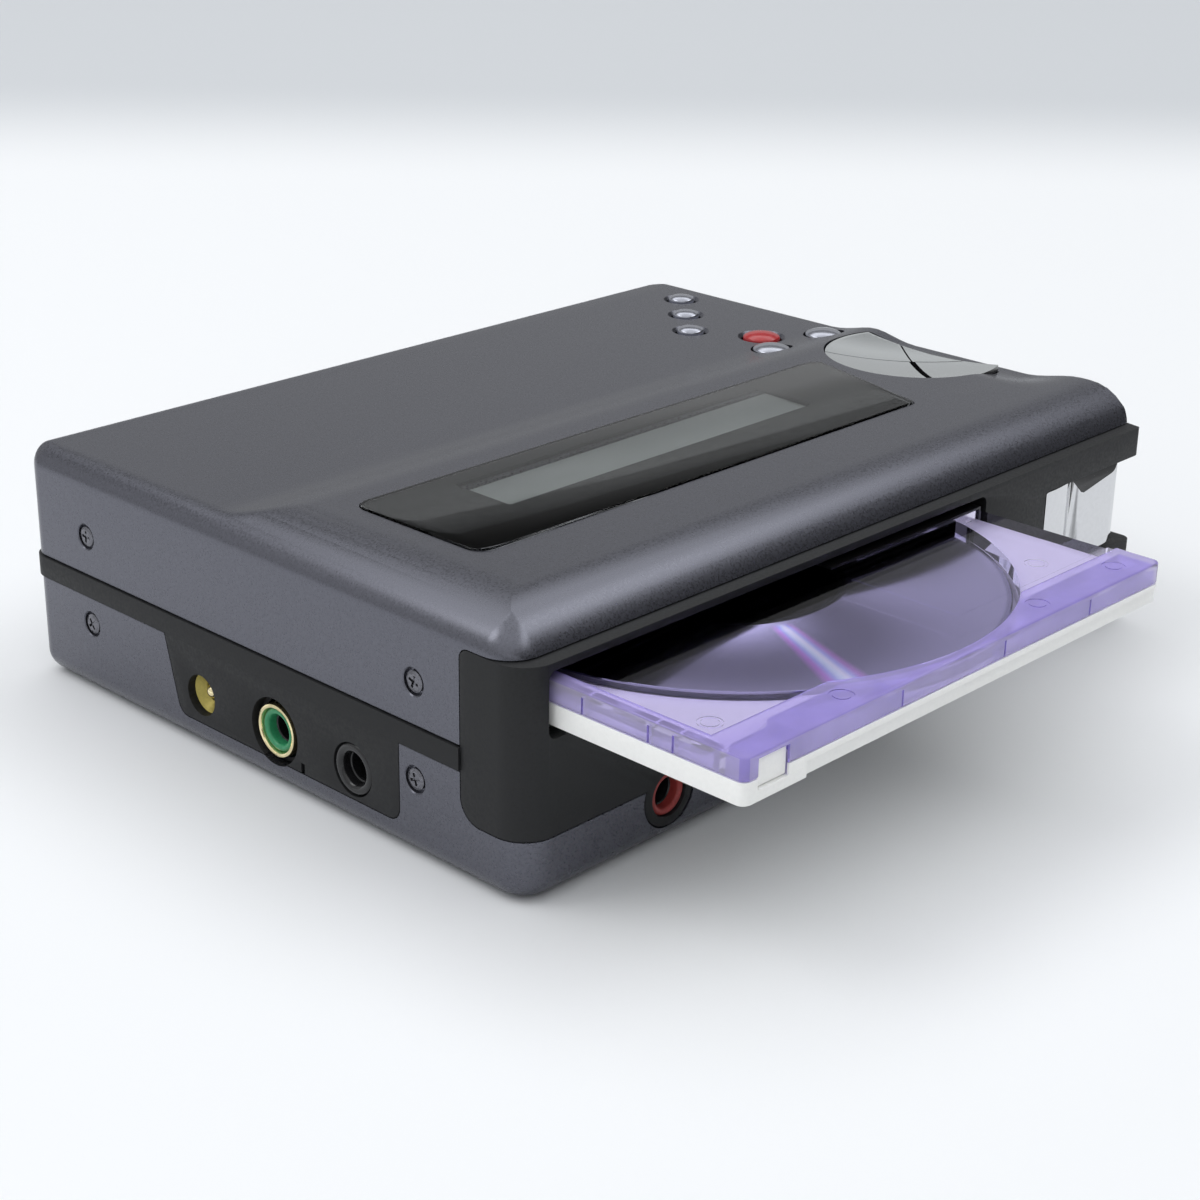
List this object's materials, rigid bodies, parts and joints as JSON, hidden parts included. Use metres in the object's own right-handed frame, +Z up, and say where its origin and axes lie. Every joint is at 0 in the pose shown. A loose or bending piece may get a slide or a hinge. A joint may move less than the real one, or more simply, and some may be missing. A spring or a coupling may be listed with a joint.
{
  "type": "portable minidisc recorder",
  "caption": "Pocket disc recorder with a front slot, a disc cartridge part way in, an eject lever, a display window, keys on top and jacks on the left side.",
  "frame": {"origin": "middle of the flat base of the case", "axes": "+Z up, the disc slot and the eject lever face -Y, the jack panel faces -X"},
  "size_m": [0.1124, 0.1108, 0.0312],
  "materials": {
    "shell_metal": "satin metallic paint",
    "black_plastic": "fine texture",
    "window": "polished",
    "lcd": "semi gloss",
    "silver_plastic": "satin metallic",
    "red_plastic": "polished",
    "lever_chrome": "polished",
    "screw_steel": "blackened",
    "pin_steel": "ground",
    "sheet_steel": "plated sheet",
    "cast_metal": "as cast",
    "motor_case": "plated",
    "damper_rubber": "matt",
    "board": "solder resist",
    "chip_plastic": "moulded",
    "gear_plastic": "moulded",
    "brass": "bright",
    "power_plastic": "moulded",
    "green_plastic": "moulded",
    "jack_red": "moulded",
    "lens_glass": "coated",
    "cartridge_clear": "translucent violet",
    "cartridge_white": "polished",
    "disc_coat": "mirror coat",
    "battery_can": "wrapped"
  },
  "bodies": {
    "recorder_case": {"top_shell": "shell_metal", "bottom_shell": "shell_metal", "mid_frame": "black_plastic", "front_bezel": "black_plastic", "display_window": "window", "lcd_panel": "lcd", "lcd_frame": "black_plastic", "case_screws": "screw_steel", "key_board": "board", "key_switches": "sheet_steel", "chassis": "cast_metal", "chassis_dampers": "damper_rubber", "chassis_screws": "pin_steel", "spindle_motor": "motor_case", "guide_rods": "pin_steel", "sled_motor": "motor_case", "main_board": "board", "board_chips": "chip_plastic", "dc_jack": "power_plastic", "dc_jack_pin": "pin_steel", "headphone_jack": "green_plastic", "headphone_ring": "brass", "line_in_jack": "black_plastic", "mic_jack": "jack_red", "lever_pin": "pin_steel", "battery": "battery_can", "door_pin": "pin_steel", "battery_contacts": "brass"},
    "holder": {"cartridge_holder": "sheet_steel", "holder_pins": "pin_steel"},
    "cam": {"cam_slider": "sheet_steel"},
    "ejector": {"ejector_slider": "gear_plastic"},
    "cartridge": {"cartridge_upper": "cartridge_clear", "cartridge_lower": "cartridge_white"},
    "shutter": {"cartridge_shutter": "sheet_steel"},
    "protect_tab": {"write_protect_tab": "cartridge_white"},
    "disc_set": {"disc": "disc_coat", "disc_hub": "sheet_steel"},
    "turntable_body": {"turntable": "cast_metal"},
    "sled": {"pickup_sled": "cast_metal", "objective_lens": "lens_glass", "head_arm": "sheet_steel", "recording_head": "chip_plastic"},
    "screw": {"lead_screw": "pin_steel", "lead_screw_gear": "gear_plastic"},
    "pinion": {"motor_pinion": "brass"},
    "lever": {"eject_lever": "lever_chrome"},
    "link": {"eject_link": "sheet_steel"},
    "door": {"battery_door": "shell_metal"},
    "edit_key_1": {"edit_key_1": "silver_plastic"},
    "edit_key_2": {"edit_key_2": "silver_plastic"},
    "edit_key_3": {"edit_key_3": "silver_plastic"},
    "record_key": {"record_key": "red_plastic"},
    "pause_key": {"pause_key": "silver_plastic"},
    "stop_key": {"stop_key": "silver_plastic"},
    "pad_key_left": {"pad_key_left": "silver_plastic"},
    "pad_key_rear": {"pad_key_rear": "silver_plastic"},
    "pad_key_right": {"pad_key_right": "silver_plastic"},
    "pad_key_front": {"pad_key_front": "silver_plastic"}
  },
  "joints": [
    {"name": "cam_slide", "type": "slide", "parent": "recorder_case", "child": "cam", "axis": [0, 1, 0], "range_m": [0, 0.005]},
    {"name": "holder_drop", "type": "slide", "parent": "recorder_case", "child": "holder", "axis": [0, 0, 1], "range_m": [-0.001, 0]},
    {"name": "ejector_slide", "type": "slide", "parent": "holder", "child": "ejector", "axis": [0, 1, 0], "range_m": [0, 0.0266]},
    {"name": "cartridge_slide", "type": "slide", "parent": "ejector", "child": "cartridge", "axis": [0, 1, 0], "range_m": [-0.045, 0]},
    {"name": "shutter_slide", "type": "slide", "parent": "cartridge", "child": "shutter", "axis": [0, 1, 0], "range_m": [-0.0173, 0]},
    {"name": "protect_tab_slide", "type": "slide", "parent": "cartridge", "child": "protect_tab", "axis": [1, 0, 0], "range_m": [0, 0.0022]},
    {"name": "disc_spin", "type": "hinge", "parent": "cartridge", "child": "disc_set", "pos_m": [-0.0156, -0.0336, 0.022], "axis": [0, 0, 1], "continuous": true},
    {"name": "turntable_spin", "type": "hinge", "parent": "recorder_case", "child": "turntable_body", "pos_m": [-0.0156, -0.007, 0.016], "axis": [0, 0, 1], "continuous": true},
    {"name": "sled_slide", "type": "slide", "parent": "recorder_case", "child": "sled", "axis": [1, 0, 0], "range_m": [0, 0.015]},
    {"name": "lead_screw_turn", "type": "hinge", "parent": "recorder_case", "child": "screw", "pos_m": [0.01, 0.0077, 0.0147], "axis": [1, 0, 0], "range_deg": [0, 1800]},
    {"name": "pinion_turn", "type": "hinge", "parent": "recorder_case", "child": "pinion", "pos_m": [0.0255, 0.01285, 0.01172], "axis": [1, 0, 0], "range_deg": [-4320, 0]},
    {"name": "eject_lever_turn", "type": "hinge", "parent": "recorder_case", "child": "lever", "pos_m": [0.0504, -0.0377, 0.017], "axis": [0, 0, 1], "range_deg": [0, 15]},
    {"name": "eject_link_slide", "type": "slide", "parent": "recorder_case", "child": "link", "axis": [0, 1, 0], "range_m": [-0.00288, 0], "stiffness_N_per_m": 300},
    {"name": "battery_door_turn", "type": "hinge", "parent": "recorder_case", "child": "door", "pos_m": [0.054, 0.0358, 0.0066], "axis": [0, 0, 1], "range_deg": [0, 90]},
    {"name": "edit_key_1_press", "type": "slide", "parent": "recorder_case", "child": "edit_key_1", "axis": [0, 0, 1], "range_m": [-0.0005, 0], "stiffness_N_per_m": 600},
    {"name": "edit_key_2_press", "type": "slide", "parent": "recorder_case", "child": "edit_key_2", "axis": [0, 0, 1], "range_m": [-0.0005, 0], "stiffness_N_per_m": 600},
    {"name": "edit_key_3_press", "type": "slide", "parent": "recorder_case", "child": "edit_key_3", "axis": [0, 0, 1], "range_m": [-0.0005, 0], "stiffness_N_per_m": 600},
    {"name": "record_key_press", "type": "slide", "parent": "recorder_case", "child": "record_key", "axis": [0, 0, 1], "range_m": [-0.0005, 0], "stiffness_N_per_m": 600},
    {"name": "pause_key_press", "type": "slide", "parent": "recorder_case", "child": "pause_key", "axis": [0, 0, 1], "range_m": [-0.0005, 0], "stiffness_N_per_m": 600},
    {"name": "stop_key_press", "type": "slide", "parent": "recorder_case", "child": "stop_key", "axis": [0, 0, 1], "range_m": [-0.0005, 0], "stiffness_N_per_m": 600},
    {"name": "pad_key_left_press", "type": "slide", "parent": "recorder_case", "child": "pad_key_left", "axis": [0, 0, 1], "range_m": [-0.0005, 0], "stiffness_N_per_m": 600},
    {"name": "pad_key_rear_press", "type": "slide", "parent": "recorder_case", "child": "pad_key_rear", "axis": [0, 0, 1], "range_m": [-0.0005, 0], "stiffness_N_per_m": 600},
    {"name": "pad_key_right_press", "type": "slide", "parent": "recorder_case", "child": "pad_key_right", "axis": [0, 0, 1], "range_m": [-0.0005, 0], "stiffness_N_per_m": 600},
    {"name": "pad_key_front_press", "type": "slide", "parent": "recorder_case", "child": "pad_key_front", "axis": [0, 0, 1], "range_m": [-0.0005, 0], "stiffness_N_per_m": 600}
  ],
  "couplings": [
    {"joint": "holder_drop", "follows": "cam_slide", "ratio": -0.2},
    {"joint": "shutter_slide", "follows": "ejector_slide", "ratio": -0.65},
    {"joint": "lead_screw_turn", "follows": "sled_slide", "rad_per_m": 2094.4},
    {"joint": "pinion_turn", "follows": "sled_slide", "rad_per_m": -5026.5},
    {"joint": "eject_lever_turn", "follows": "eject_link_slide", "rad_per_m": -90.909}
  ]
}
